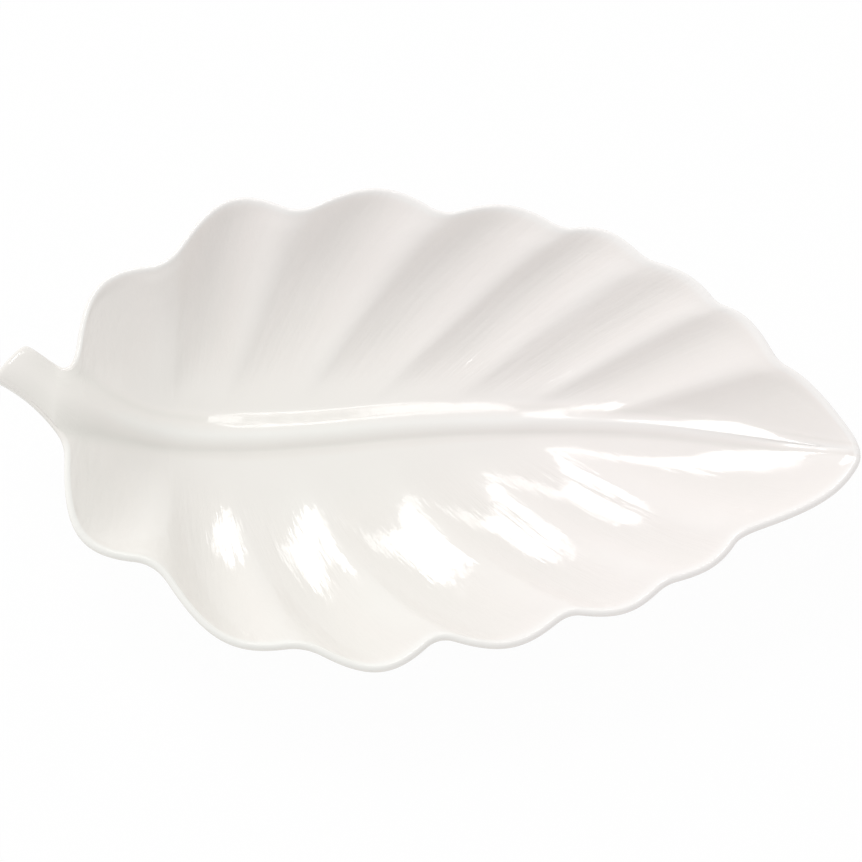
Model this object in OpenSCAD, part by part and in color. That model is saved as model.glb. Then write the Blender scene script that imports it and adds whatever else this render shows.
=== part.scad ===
// A leaf shaped serving plate of white glazed porcelain. The blade is a shallow dish with
// lobed edges, a raised midrib and a fan of channels between its side veins. A short stem
// carries on from the midrib as a lug to lift it by, and a bare oblong foot ring stands it up.
// The leaf lies along X with its tip at +X, and rests on the plane z = 0.

/* [Blade] */
// Length of the blade, from the neck to the point of the tip
blade_length = 276.6; // [180:0.2:360]
// Breadth of the leaf from its middle line to its broadest lobes
half_breadth = 92; // [60:1:120]
// Height of the rim above the table
rim_height = 32; // [24:0.5:48]
// How much higher the rim stands at the tip
tip_rise = 3; // [0:0.5:8]
// Thickness of the floor
floor_thickness = 4.6; // [3:0.2:8]
// Thickness of the rounded rim
rim_thickness = 4.2; // [3:0.2:6]
// Depth of the channels between the side veins
channel_depth = 1.8; // [0:0.2:4]

/* [Midrib] */
// Height of the midrib at the neck
rib_height = 3.2; // [1:0.2:6]
// Depth of the keel under the neck
keel_depth = 3; // [0:0.5:6]

/* [Stem] */
// Breadth of the neck, where the stem meets the blade
neck_breadth = 25; // [18:0.5:34]
// Reach of the stem past the neck
stem_length = 15; // [8:1:40]
// How far the end of the stem swings to the far side
stem_swing = 12; // [0:0.5:20]
// Breadth of the stem at its cut end
stem_breadth = 17; // [8:1:24]
// How far the near flank of the stem is hollowed
stem_hollow = 1.5; // [0:0.1:3]
// Thickness of the stem at its cut end
stem_thickness = 9; // [6:0.5:14]
// How much the end of the stem rises above the neck
stem_rise = 2; // [0:0.5:10]
// Radius of the edge round the cut end
stem_edge = 2.6; // [1:0.2:3]

/* [Foot] */
// Height of the foot ring
foot_height = 5; // [3:0.5:8]
// Length of the foot ring
foot_length = 104; // [90:1:108]
// Breadth of the foot ring
foot_breadth = 62; // [50:1:66]
// Width of the foot ring where it meets the floor
foot_root = 9; // [6:0.5:12]
// Width of the face that the foot ring stands on
foot_tread = 4; // [2:0.5:5]
// Bevel along the edges of the tread
foot_bevel = 0.6; // [0.2:0.1:0.8]

/* [Hidden] */

// Notches of the far edge from neck to tip, as shares of the blade's length and half breadth
far_notch_shares = [
    [0.020, 0.250], [0.130, 0.667], [0.296, 0.890], [0.480, 0.882], [0.632, 0.821],
    [0.738, 0.684], [0.825, 0.492], [0.898, 0.243], [1.000, -0.130]
];
// Where the two sides of each far lobe would meet
far_lobe_shares = [
    [0.023, 0.656], [0.196, 1.055], [0.398, 1.076], [0.565, 0.976], [0.691, 0.850],
    [0.797, 0.628], [0.868, 0.449], [0.941, 0.172]
];
// Notches of the near edge, measured the same way on the other side
near_notch_shares = [
    [0.013, 0.040], [0.129, 0.564], [0.312, 0.890], [0.474, 0.852], [0.631, 0.764],
    [0.750, 0.654], [0.842, 0.467], [1.000, 0.130]
];
// Where the two sides of each near lobe would meet
near_lobe_shares = [
    [0.008, 0.556], [0.206, 0.961], [0.409, 1.070], [0.566, 0.955], [0.705, 0.803],
    [0.815, 0.607], [0.970, 0.337]
];
// How full the lobes are: 1 is a parabola, more bulges towards the corner
lobe_fullness_share = 1.5;
// Shares of a lobe that round off a notch and the tip
notch_round_share = 0.08;
tip_round_share = 0.12;
// Places along the blade where the side veins leave the midrib
root_shares = [0, 0.137, 0.192, 0.275, 0.362, 0.459, 0.560, 0.662, 0.945];
// The first veins fan out from this share of the blade's length, past the rim of the neck
fan_share = 0.03;
// They have fanned out after this share of the first lobe
fan_run_share = 0.05;
// How strongly the veins of the first lobe crowd towards the neck: 1 is evenly spaced
root_crowd_share = 1.7;
// Sideways swing of the midrib at even steps from neck to tip, as shares of half breadth
rib_line_shares = [
    0.100, 0.053, 0.051, 0.055, 0.073, 0.099, 0.113, 0.117, 0.102, 0.068, 0.009, -0.064, -0.140
];
// Breadth and height of the midrib at the same steps, as shares of those at the neck
rib_size_shares = [1, 0.57, 0.47, 0.45, 0.43, 0.43, 0.40, 0.38, 0.35, 0.33, 0.30, 0.22, 0.14];
// Share of the midrib's height over which its near foot rounds into the floor
rib_round_share = 0.35;
// How much further the midrib spreads on its far side, past the neck
rib_spread_share = 0.9;
// How far along its way a vein has gone when it has turned towards the tip, at each root
far_bend_shares = [0.40, 0.40, 0.43, 0.46, 0.48, 0.48, 0.48, 0.44, 0.40];
near_bend_shares = [0.40, 0.40, 0.40, 0.38, 0.50, 0.54, 0.58, 0.50, 0.40];
// How far across it has gone there, in the middle of the leaf and at the tip
vein_across_share = 0.7;
tip_across_share = 0.4;
// Share of a vein that lies on the level floor inside, up to the middle of the leaf
floor_share = 0.2;
// Share of a vein that is level underneath, up to the middle and at the tip
under_floor_share = 0.43;
under_tip_share = 0.2;
// The level floor runs out at this share of the blade's length, over this share before it
floor_end_share = 0.68;
floor_fade_share = 0.3;
// How steeply the walls curve up inside and underneath: 1 is a straight slope
wall_curve_share = 1.5;
under_curve_share = 1.18;
// The midrib climbs to the neck and to the tip over these shares of the blade's length
neck_climb_share = 0.18;
tip_climb_share = 0.44;
// How it curves up to the tip: 1 is a straight slope
climb_curve_share = 1.7;
// Shares of a vein over which a channel deepens, and over which it dies out at the rim
channel_start_share = 0.1;
channel_grow_share = 0.4;
channel_end_share = 0.18;
// The channels set in over this share of the first lobe
channel_first_share = 0.33;
// A vein shorter than this share of the half breadth has shallower channels
full_depth_share = 0.5;
// Share of a lobe that rounds the crest between two channels
crest_round_share = 0.3;
// The keel under the neck dies out over this share of the blade's length
keel_share = 0.18;
// Place of the foot ring's middle, as shares of the blade's length and half breadth
foot_place_shares = [0.372, 0.02];
// Angle by which the wall leans out at the lip
lip_lean = 32;
// Roundness of the stem's section: 2 is an ellipse, more is squarer
stem_power = 2.5;
// Steps of the mesh: along a lobe, over the rib, up the wall, round the lip
lobe_steps = 12;
rib_steps = 4;
wall_steps = 8;
lip_steps = 4;
// Steps of the underside across its level part and up its wall
under_floor_steps = 3;
under_wall_steps = 5;
// Steps along the stem and round its end
stem_steps = 6;
end_steps = 3;
// The rib's rows reach this far past its foot, and no further than this share of a vein
rib_mesh_share = 1.1;
rib_mesh_limit_share = 0.5;
// How strongly the rows crowd towards the rim and towards the notches
wall_mesh_share = 1.25;
notch_mesh_share = 0.6;
// A short step along an edge, to find its direction
probe_share = 0.004;

lip_radius = rim_thickness / 2;
neck_run = neck_climb_share * blade_length;
tip_start = (1 - tip_climb_share) * blade_length;
far_lobes = len(far_lobe_shares);
stations = far_lobes * lobe_steps;
top_steps = rib_steps + wall_steps;
under_steps = under_floor_steps + under_wall_steps;
half_ring = top_steps + lip_steps + under_steps;
ring_size = 2 * half_ring;

function mix(a, b, v) = a + (b - a) * v;
function held(v) = min(max(v, 0), 1);
function eased(v) = let (c = held(v)) c * c * (3 - 2 * c);
function unit(v) = v / norm(v);
function crossed(a, b) = a.x * b.y - a.y * b.x;

// A conic arc from a to b whose end tangents meet at c
function conic(a, c, b, v, fullness) =
    let (p = (1 - v) * (1 - v), q = 2 * fullness * v * (1 - v), r = v * v)
    (p * a + q * c + r * b) / (p + q + r);

// The point where two lines meet, each given by a point and a direction
function meeting(a, along_a, b, along_b) =
    a + along_a * crossed(b - a, along_b) / crossed(along_a, along_b);

// A smooth curve through evenly spaced values, at v from 0 to 1
function splined(values, v) =
    let (last = len(values) - 1, w = held(v) * last, i = min(floor(w), last - 1), u = w - i)
    let (b = values[i], c = values[i + 1])
    let (a = i > 0 ? values[i - 1] : 2 * b - c, d = i + 2 <= last ? values[i + 2] : 2 * c - b)
    b + u * ((c - a) / 2 + u * (a - 2.5 * b + 2 * c - d / 2 + u * (1.5 * (b - c) + (d - a) / 2)));

// Middle line of the rib: its place across the leaf at a distance x from the neck
function rib_line(x) = half_breadth * splined(rib_line_shares, x / blade_length);
function rib_size(x) = splined(rib_size_shares, x / blade_length);
function rib_half(x) = neck_breadth * rib_size(x) / 2;
function rib_spread(x) = rib_spread_share * eased(x / neck_run);

// The outline. Side is 1 for the far edge and -1 for the near one. A place e on an edge
// counts its lobes from the neck. A station s counts the far lobes on both edges.
function notch_table(side) = side > 0 ? far_notch_shares : near_notch_shares;
function lobe_table(side) = side > 0 ? far_lobe_shares : near_lobe_shares;
function lobe_count(side) = len(lobe_table(side));
function placed(share, side) = [share.x * blade_length, side * share.y * half_breadth];
function edge_place(side, s) =
    let (whole = lobe_count(side) - 1)
    s <= whole ? s : whole + (s - whole) / (far_lobes - whole);

function lobe_arc(side, e) =
    let (i = min(floor(e), lobe_count(side) - 1), notches = notch_table(side))
    conic(placed(notches[i], side), placed(lobe_table(side)[i], side),
          placed(notches[i + 1], side), e - i, lobe_fullness_share);
function lobe_run(side, e) = unit(lobe_arc(side, e + probe_share) - lobe_arc(side, e - probe_share));

// Corners of the neck and of the stem's cut end
neck_middle = [0, rib_line(0)];
stem_middle = neck_middle + [-stem_length, stem_swing];
stem_along = unit([-stem_length, stem_swing]);
stem_across = [stem_along.y, -stem_along.x];
function neck_corner(side) = neck_middle + [0, side * neck_breadth / 2];
function stem_corner(side) = stem_middle + side * stem_across * stem_breadth / 2;

// The flanks of the stem: the far one is straight and the near one hollow
function flank_bend(side) =
    (neck_corner(side) + stem_corner(side)) / 2 + (side > 0 ? 0 : 2) * stem_hollow * stem_across;
function flank(side, v) = conic(neck_corner(side), flank_bend(side), stem_corner(side), v, 1);

// Round corner between the places a and b, both measured on the given edges
function corner_arc(a, along_a, b, along_b, v) = conic(a, meeting(a, along_a, b, along_b), b, v, 1);
function neck_arc(side, v) =
    let (b = notch_round_share)
    corner_arc(neck_corner(side), neck_corner(side) - flank_bend(side),
               lobe_arc(side, b), lobe_run(side, b), v);
function notch_arc(side, k, v) =
    let (a = k - notch_round_share, b = k + notch_round_share)
    corner_arc(lobe_arc(side, a), lobe_run(side, a), lobe_arc(side, b), lobe_run(side, b), v);
function tip_arc(v) =
    let (a = lobe_count(1) - tip_round_share, b = lobe_count(-1) - tip_round_share)
    corner_arc(lobe_arc(1, a), lobe_run(1, a), lobe_arc(-1, b), lobe_run(-1, b), v);

function edge(side, e) =
    let (last = lobe_count(side), k = round(e), gap = e - k)
    let (tip_part = (gap + tip_round_share) / (2 * tip_round_share))
    k == last && gap > -tip_round_share ? tip_arc(side > 0 ? tip_part : 1 - tip_part)
    : k == 0 && gap < notch_round_share ? neck_arc(side, gap / notch_round_share)
    : k < last && abs(gap) < notch_round_share
        ? notch_arc(side, k, (gap + notch_round_share) / (2 * notch_round_share))
    : lobe_arc(side, e);

// Outward direction of an edge, which starts square to the neck
function edge_out(side, e) =
    let (run = edge(side, min(e + probe_share, lobe_count(side))) - edge(side, max(e - probe_share, 0)))
    let (out = side * unit([-run.y, run.x]))
    unit(mix([0, side], out, eased(e / (notch_round_share / 2))));

// Height of the lip's centre line
function lip_height(x) =
    rim_height - lip_radius + tip_rise * eased((x - tip_start) / (blade_length - tip_start));

// A side vein runs from the midrib to the rim and bends towards the tip on its way. The
// last ones straighten out, so that they stay on their own side of the midrib.
function bend_table(side) = side > 0 ? far_bend_shares : near_bend_shares;
function root(s) =
    let (i = min(floor(s), far_lobes - 1))
    let (first = fan_share * eased(s / fan_run_share))
    let (place = i > 0 ? mix(root_shares[i], root_shares[i + 1], s - i)
                       : mix(first, root_shares[1], pow(s, root_crowd_share)))
    let (x = place * blade_length)
    [x, rib_line(x)];
function vein(side, s, to, t) =
    let (from = root(s), span = to - from)
    let (along = splined(bend_table(side), s / far_lobes))
    let (across = mix(vein_across_share, tip_across_share, eased(s - far_lobes + 1)))
    conic(from, from + [along * span.x, across * span.y], to, t, 1);

// How far up to the rim the midrib lies: 0 on the floor, 1 at the neck and the tip
function climb(x) =
    1 - eased(x / neck_run)
    + pow(held((x - tip_start) / (blade_length - tip_start)), climb_curve_share);

// How much of the level floor is left, and the wall's way up from where the floor ends
function floor_left(x) = eased((floor_end_share - x / blade_length) / floor_fade_share);
function under_level(s) = mix(under_tip_share, under_floor_share, floor_left(root(s).x));
function bowl(t, level, power) = pow(held((t - level) / (1 - level)), power);

// Crests between the channels, from a third below the wall to two thirds above it
function crest(e) =
    let (v = abs(2 * (e - floor(e)) - 1), over = max(v - 1 + crest_round_share, 0))
    let (w = v - over * over / (2 * crest_round_share))
    w * w - 1 / 3;
function channel(side, s, t, span) =
    channel_depth * crest(edge_place(side, s)) * eased(s / channel_first_share)
    * min(1, norm(span) / (full_depth_share * half_breadth))
    * eased((t - channel_start_share) / channel_grow_share)
    * eased((1 - t) / channel_end_share);

// Cross profile of the midrib: steep on its near side, and past the neck it spreads out and
// softens on its far side
function steep_bump(v) =
    let (rise = 1 - v * v, round_part = held((rise + rib_round_share) / (2 * rib_round_share)))
    rise > rib_round_share ? rise : rib_round_share * round_part * round_part;
function soft_bump(v) = let (c = held(1 - v * v)) c * c;
function rib_place(p) = (p.y - rib_line(p.x)) / rib_half(p.x);
function rib_bump(p) =
    let (v = rib_place(p), far = v / (1 + rib_spread(p.x)))
    v < 0 ? steep_bump(v) : mix(steep_bump(far), soft_bump(far), eased(p.x / neck_run));

// Places along a vein where the mesh has a row, inside the bowl and underneath
function top_place(side, s, span, j) =
    let (x = root(s).x, spread = side > 0 ? 1 + rib_spread(x) : 1)
    let (rib_reach = rib_mesh_share * spread * rib_half(x) / max(abs(span.y), lip_radius))
    let (rib_end = min(rib_reach / (2 * vein_across_share), rib_mesh_limit_share))
    let (w = (j - rib_steps) / wall_steps)
    j <= rib_steps ? rib_end * j / rib_steps : mix(rib_end, 1, 1 - pow(1 - w, wall_mesh_share));
function under_place(s, j) =
    let (level = under_level(s))
    j <= under_floor_steps
        ? level * j / under_floor_steps
        : mix(level, 1, (j - under_floor_steps) / under_wall_steps);

// Points of the bowl, of the lip's half round and of the underside at a station
function lip_frame(side, s) =
    let (e = edge_place(side, s), rim = edge(side, e), out = edge_out(side, e))
    let (middle = rim - lip_radius * out)
    [[middle.x, middle.y, lip_height(rim.x)], out];
function lip_point(frame, turn) =
    frame[0] + lip_radius * [frame[1].x * cos(turn), frame[1].y * cos(turn), sin(turn)];
function flat(p) = [p.x, p.y];
function top_point(side, s, j) =
    let (end = lip_point(lip_frame(side, s), 90 + lip_lean), start = root(s))
    let (span = flat(end) - start, t = top_place(side, s, span, j), p = vein(side, s, flat(end), t))
    let (foot = mix(foot_height + floor_thickness, end.z, climb(start.x)))
    [p.x, p.y, mix(foot, end.z, bowl(t, floor_share * floor_left(start.x), wall_curve_share))
        + channel(side, s, t, span) + rib_height * rib_size(p.x) * rib_bump(p)];
function under_point(side, s, j) =
    let (end = lip_point(lip_frame(side, s), lip_lean - 90), start = root(s))
    let (span = flat(end) - start, t = under_place(s, j), p = vein(side, s, flat(end), t))
    let (foot = mix(foot_height, end.z, climb(start.x)), level = under_level(s))
    [p.x, p.y, mix(foot, end.z, bowl(t, level, under_curve_share))
        + channel(side, s, t, span) * eased((t - level) / channel_grow_share)
        - keel_depth * steep_bump(rib_place(p)) * eased(1 - p.x / (keel_share * blade_length))];

// Half a section from the midrib's crest over the rim to the middle of the underside
function half_section(side, s) =
    let (frame = lip_frame(side, s))
    concat(
        [for (j = [0 : top_steps]) top_point(side, s, j)],
        [for (j = [1 : lip_steps - 1]) lip_point(frame, 90 + lip_lean - 180 * j / lip_steps)],
        [for (j = [under_steps : -1 : 0]) under_point(side, s, j)]
    );
function section(s) =
    let (near = half_section(-1, s))
    concat(half_section(1, s), [for (j = [half_ring - 1 : -1 : 1]) near[j]]);

// Stations crowd towards the notches, where the edge turns fastest
function station(i) =
    let (v = i / lobe_steps)
    v - notch_mesh_share * sin(360 * v) / (2 * PI);

blade_sections = [for (i = [0 : stations - 1]) section(station(i))];
tip_section = half_section(1, far_lobes);
neck_section = blade_sections[0];

function flattened(lists) = [for (list = lists) for (p = list) p];
function middle_of(points) = (points[0] + points[half_ring]) / 2;

// The blade's faces: quads between sections, a fan over the neck, and a last section that
// both sides share at the tip
function blade_index(i, j) =
    let (k = j % ring_size)
    i * ring_size + (i < stations ? k : min(k, ring_size - k));
blade_points = concat(flattened(blade_sections), tip_section, [middle_of(neck_section)]);
blade_faces = concat(
    [for (i = [0 : stations - 1]) for (j = [0 : ring_size - 1])
        [blade_index(i, j), blade_index(i, j + 1), blade_index(i + 1, j + 1)]],
    [for (i = [0 : stations - 1]) for (j = [0 : ring_size - 1])
        [blade_index(i, j), blade_index(i + 1, j + 1), blade_index(i + 1, j)]],
    [for (j = [0 : ring_size - 1])
        [len(blade_points) - 1, blade_index(0, j + 1), blade_index(0, j)]]
);

// The stem's section turns from the neck's into a rounded bar between its two flanks
neck_centre = middle_of(neck_section);
end_height = neck_centre.z + stem_rise;
function bar_point(p) =
    let (a = (p.y - neck_centre.y) / (neck_breadth / 2), b = (p.z - neck_centre.z) / (stem_thickness / 2))
    let (r = pow(pow(abs(a), stem_power) + pow(abs(b), stem_power), 1 / stem_power))
    [a / r, b / r];
function stem_point(p, v) =
    let (bar = bar_point(p), w = eased(v))
    let (across = mix((p.y - neck_centre.y) / (neck_breadth / 2), bar.x, w))
    let (plan = mix(flank(-1, v), flank(1, v), (across + 1) / 2))
    [plan.x, plan.y, mix(p.z, end_height + bar.y * stem_thickness / 2, w)];
function end_point(p, turn) =
    let (bar = bar_point(p), inset = stem_edge * (1 - cos(turn)))
    let (plan = stem_middle + stem_across * bar.x * (stem_breadth / 2 - inset)
                + stem_along * stem_edge * sin(turn))
    [plan.x, plan.y, end_height + bar.y * (stem_thickness / 2 - inset)];
stem_sections = concat(
    [for (i = [0 : stem_steps]) [for (p = neck_section) stem_point(p, i / stem_steps)]],
    [for (i = [1 : end_steps]) [for (p = neck_section) end_point(p, 90 * i / end_steps)]]
);
stem_rows = len(stem_sections) - 1;
stem_points = concat(flattened(stem_sections), [neck_centre, middle_of(stem_sections[stem_rows])]);
function stem_index(i, j) = i * ring_size + j % ring_size;
stem_faces = concat(
    [for (i = [0 : stem_rows - 1]) for (j = [0 : ring_size - 1])
        [stem_index(i, j), stem_index(i + 1, j + 1), stem_index(i, j + 1)]],
    [for (i = [0 : stem_rows - 1]) for (j = [0 : ring_size - 1])
        [stem_index(i, j), stem_index(i + 1, j), stem_index(i + 1, j + 1)]],
    [for (j = [0 : ring_size - 1]) [len(stem_points) - 2, stem_index(0, j), stem_index(0, j + 1)]],
    [for (j = [0 : ring_size - 1])
        [len(stem_points) - 1, stem_index(stem_rows, j + 1), stem_index(stem_rows, j)]]
);

// The origin lies under the middle of the whole plate
plate_xs = [for (p = concat(blade_points, stem_points)) p.x];
plate_ys = [for (p = concat(blade_points, stem_points)) p.y];
centre = [(min(plate_xs) + max(plate_xs)) / 2, (min(plate_ys) + max(plate_ys)) / 2];

module in_place() {
    translate([-centre.x, -centre.y, 0]) children();
}

// The fluted blade with its midrib and rounded rim
module leaf_dish() {
    color("white")
    in_place()
    polyhedron(points = blade_points, faces = blade_faces, convexity = 6);
}

// The short stem that carries on from the midrib
module stem_handle() {
    color("ghostwhite")
    in_place()
    polyhedron(points = stem_points, faces = stem_faces, convexity = 4);
}

// The foot ring has half round ends and straight sides, with one tapered profile all round
foot_middle = placed(foot_place_shares, 1);
foot_radius = (foot_breadth - foot_root) / 2;
foot_straight = foot_length - foot_breadth;

module foot_profile() {
    polygon([
        [foot_radius - foot_root / 2, foot_height],
        [foot_radius - foot_tread / 2 - foot_bevel, foot_bevel],
        [foot_radius - foot_tread / 2, 0],
        [foot_radius + foot_tread / 2, 0],
        [foot_radius + foot_tread / 2 + foot_bevel, foot_bevel],
        [foot_radius + foot_root / 2, foot_height]
    ]);
}

module foot_ring() {
    color("oldlace")
    in_place()
    translate([foot_middle.x, foot_middle.y, 0])
    for (turn = [0, 180]) rotate([0, 0, turn]) {
        translate([foot_straight / 2, 0, 0])
        rotate([0, 0, -90])
        rotate_extrude(angle = 180, $fn = 96)
        foot_profile();
        translate([foot_straight / 2, 0, 0])
        rotate([90, 0, -90])
        linear_extrude(foot_straight)
        foot_profile();
    }
}

leaf_dish();
stem_handle();
foot_ring();
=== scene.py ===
import bpy
import numpy as np
from math import radians
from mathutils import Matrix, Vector


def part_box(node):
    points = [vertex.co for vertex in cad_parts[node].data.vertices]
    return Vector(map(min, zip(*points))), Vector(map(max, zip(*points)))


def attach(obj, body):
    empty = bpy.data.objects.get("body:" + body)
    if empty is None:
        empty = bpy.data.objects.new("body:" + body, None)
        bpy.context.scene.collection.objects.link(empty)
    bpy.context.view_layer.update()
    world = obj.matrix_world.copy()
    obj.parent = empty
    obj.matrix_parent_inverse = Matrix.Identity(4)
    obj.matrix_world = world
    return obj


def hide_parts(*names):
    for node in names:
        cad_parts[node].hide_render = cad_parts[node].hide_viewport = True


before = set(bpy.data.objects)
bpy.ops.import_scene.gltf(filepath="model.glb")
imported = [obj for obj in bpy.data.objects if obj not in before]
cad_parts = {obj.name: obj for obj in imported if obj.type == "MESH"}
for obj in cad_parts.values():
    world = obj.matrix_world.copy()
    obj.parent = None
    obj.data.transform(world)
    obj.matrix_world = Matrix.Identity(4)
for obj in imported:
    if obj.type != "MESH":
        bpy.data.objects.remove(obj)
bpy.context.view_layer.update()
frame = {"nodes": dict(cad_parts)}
print("frame loaded:", ", ".join(frame["nodes"]))

mm = 0.001              # the frame is in metres

# sizes of the leaf in millimetres and its shares. They are the solids' own, but for the rim, the
# keel and the channels' ends and crests, which the glazed skin has finer, and the midrib's melt
leaf = {
    "bladeLength": 276.6, "halfBreadth": 92.0, "rimHeight": 32.0, "tipRise": 3.0,
    "floorThickness": 4.6, "rimThickness": 2.8, "footHeight": 5.0,
    "channelDepth": 1.8, "channelFirst": 0.33, "fullDepth": 0.5, "channelStart": 0.10, "channelEnd": 0.12,
    "farGrow": 0.27, "nearGrow": 0.33, "underGrow": 0.4, "farCrest": 0.14, "nearCrest": 0.2,
    "ribHeight": 3.2, "ribRound": 0.35, "ribSpread": 0.9,
    "ribMelt": 0.5, "ribMeltFrom": 0.6, "ribMeltRun": 0.3,
    "keelDepth": 4.3, "keel": 0.18,
    "lobeFullness": 1.5, "notchRound": 0.08, "tipRound": 0.12,
    "fan": 0.03, "fanRun": 0.05, "rootCrowd": 1.7, "veinAcross": 0.7, "tipAcross": 0.4,
    "farBends": [0.4, 0.4, 0.43, 0.46, 0.48, 0.48, 0.48, 0.44, 0.4],
    "nearBends": [0.4, 0.4, 0.4, 0.38, 0.5, 0.54, 0.58, 0.5, 0.4],
    "floorShare": 0.2, "underFloorShare": 0.43, "underTipShare": 0.2, "floorEnd": 0.68, "floorFade": 0.3,
    "wallCurve": 1.5, "underCurve": 1.18,
    "neckClimb": 0.18, "neckSoft": 0.25, "neckRuns": 9, "tipClimb": 0.44, "climbCurve": 1.7, "lipLean": 32.0,
    "farNotches": [[0.020, 0.250], [0.130, 0.667], [0.296, 0.890], [0.480, 0.882], [0.632, 0.821],
                   [0.738, 0.684], [0.825, 0.492], [0.898, 0.243], [1.000, -0.130]],
    "farLobes": [[0.023, 0.656], [0.196, 1.055], [0.398, 1.076], [0.565, 0.976], [0.691, 0.850],
                 [0.797, 0.628], [0.868, 0.449], [0.941, 0.172]],
    "nearNotches": [[0.013, 0.040], [0.129, 0.564], [0.312, 0.890], [0.474, 0.852], [0.631, 0.764],
                    [0.750, 0.654], [0.842, 0.467], [1.000, 0.130]],
    "nearLobes": [[0.008, 0.556], [0.206, 0.961], [0.409, 1.070], [0.566, 0.955], [0.705, 0.803],
                  [0.815, 0.607], [0.970, 0.337]],
    "roots": [0, 0.137, 0.192, 0.275, 0.362, 0.459, 0.560, 0.662, 0.945],
    "ribLine": [0.100, 0.053, 0.051, 0.055, 0.073, 0.099, 0.113, 0.117, 0.102, 0.068, 0.009, -0.064, -0.140],
    "ribBreadths": [1.0, 0.57, 0.47, 0.45, 0.43, 0.43, 0.40, 0.38, 0.35, 0.33, 0.30, 0.22, 0.14],
}
stem = {
    "neckBreadth": 25.0, "length": 15.0, "swing": 12.0, "breadth": 17.0, "hollow": 1.5,
    "thickness": 9.0, "rise": 1.95, "edge": 2.6, "power": 2.5,
}
# rows of the dense skin: stations per far lobe, rows over the rib, up the wall, round the
# lip, across the level underside, up its wall, along the stem and round its end. The stations
# crowd towards the notches and the wall's rows towards the rim. The rib's rows reach ribMargin
# times as far as the midrib, but at most to ribMost of the way, and the lip has lipWay of it.
skin = {
    "lobe": 38, "rib": 12, "wall": 40, "lip": 12, "underFloor": 6, "underWall": 18, "stem": 18, "end": 8,
    "notchCrowd": 0.6, "rimCrowd": 1.25, "ribMargin": 1.1, "ribMost": 0.5, "lipWay": 0.04,
}

length, halfBreadth = leaf["bladeLength"], leaf["halfBreadth"]
lipRadius = leaf["rimThickness"] / 2
farCount, nearCount = len(leaf["farLobes"]), len(leaf["nearLobes"])
tipStart, neckRun = (1 - leaf["tipClimb"]) * length, leaf["neckClimb"] * length
probe = 0.004           # half the step that the outline's slopes are taken over, in lobes


def mix(a, b, v):
    return a + (b - a) * v

def held(v):
    return np.clip(v, 0, 1)

def eased(v):                       # 3v^2 - 2v^3 between 0 and 1
    c = held(v)
    return c * c * (3 - 2 * c)

def unit(v):
    return v / np.linalg.norm(v, axis=-1, keepdims=True)

def crossed(a, b):
    return a[..., 0] * b[..., 1] - a[..., 1] * b[..., 0]

# conic arc from a to b with end tangents meeting at c: the mean of the three points with
# weights (1-v)^2, 2fv(1-v) and v^2
def conicArc(a, c, b, v, fullness):
    v = np.asarray(v, float)[..., None]
    p, q, r = (1 - v) ** 2, 2 * fullness * v * (1 - v), v ** 2
    return (p * a + q * c + r * b) / (p + q + r)

# where the line from a along u meets the line from b along w
def meeting(a, u, b, w):
    return a + u * (crossed(b - a, w) / crossed(u, w))[..., None]

# round corner from a to b, a parabola whose end tangents are u and w
def cornerArc(a, u, b, w, v):
    return conicArc(a, meeting(a, u, b, w), b, v, 1)

# cubic through evenly spaced values, each slope half the difference of its neighbours
def curveThrough(values, v):
    values = np.asarray(values, float)
    ext = np.concatenate([[2 * values[0] - values[1]], values, [2 * values[-1] - values[-2]]])
    w = held(v) * (len(values) - 1)
    i = np.minimum(np.floor(w).astype(int), len(values) - 2)
    u = w - i
    a, b, c, d = ext[i], ext[i + 1], ext[i + 2], ext[i + 3]
    return b + u * ((c - a) / 2 + u * (a - 2.5 * b + 2 * c - d / 2 + u * (1.5 * (b - c) + (d - a) / 2)))

def ribLine(x):
    return halfBreadth * curveThrough(leaf["ribLine"], x / length)

def ribShare(x):
    return curveThrough(leaf["ribBreadths"], x / length)

# height of the midrib, which melts into the blade towards the tip
def ribRise(x):
    melt = leaf["ribMelt"] * eased((x / length - leaf["ribMeltFrom"]) / leaf["ribMeltRun"])
    return leaf["ribHeight"] * ribShare(x) * (1 - melt)

def ribHalf(x):
    return stem["neckBreadth"] * ribShare(x) / 2


# the stem in plan: middles and corners of the neck and of the cut end
neckMiddle = np.array([0.0, float(ribLine(np.array(0.0)))])
stemMiddle = neckMiddle + np.array([-stem["length"], stem["swing"]])
stemAlong = unit(stemMiddle - neckMiddle)
stemAcross = np.array([stemAlong[1], -stemAlong[0]])

def neckCorner(side):
    return neckMiddle + np.array([0, side * stem["neckBreadth"] / 2])

def stemCorner(side):
    return stemMiddle + side * stemAcross * stem["breadth"] / 2

def flankBend(side):
    hollow = 0 if side > 0 else 2 * stem["hollow"]
    return (neckCorner(side) + stemCorner(side)) / 2 + hollow * stemAcross

def flank(side, v):
    return conicArc(neckCorner(side), flankBend(side), stemCorner(side), v, 1)


# the notches and the lobes' corners of one side, in millimetres
def outlineTable(side):
    name = "far" if side > 0 else "near"
    sizes = np.array([length, side * halfBreadth])
    return np.array(leaf[name + "Notches"]) * sizes, np.array(leaf[name + "Lobes"]) * sizes

# stations count the far lobes; the last near lobe takes the last two of them
def edgePlace(side, s):
    whole = (farCount if side > 0 else nearCount) - 1
    return np.where(s <= whole, s, whole + (s - whole) / (farCount - whole))

# the lobe between two notches: a conic arc pulled towards the lobe's corner
def lobeArc(side, e):
    notches, lobes = outlineTable(side)
    i = np.clip(np.floor(e).astype(int), 0, len(lobes) - 1)
    return conicArc(notches[i], lobes[i], notches[i + 1], e - i, leaf["lobeFullness"])

def lobeRun(side, e):
    return unit(lobeArc(side, e + probe) - lobeArc(side, e - probe))

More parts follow.
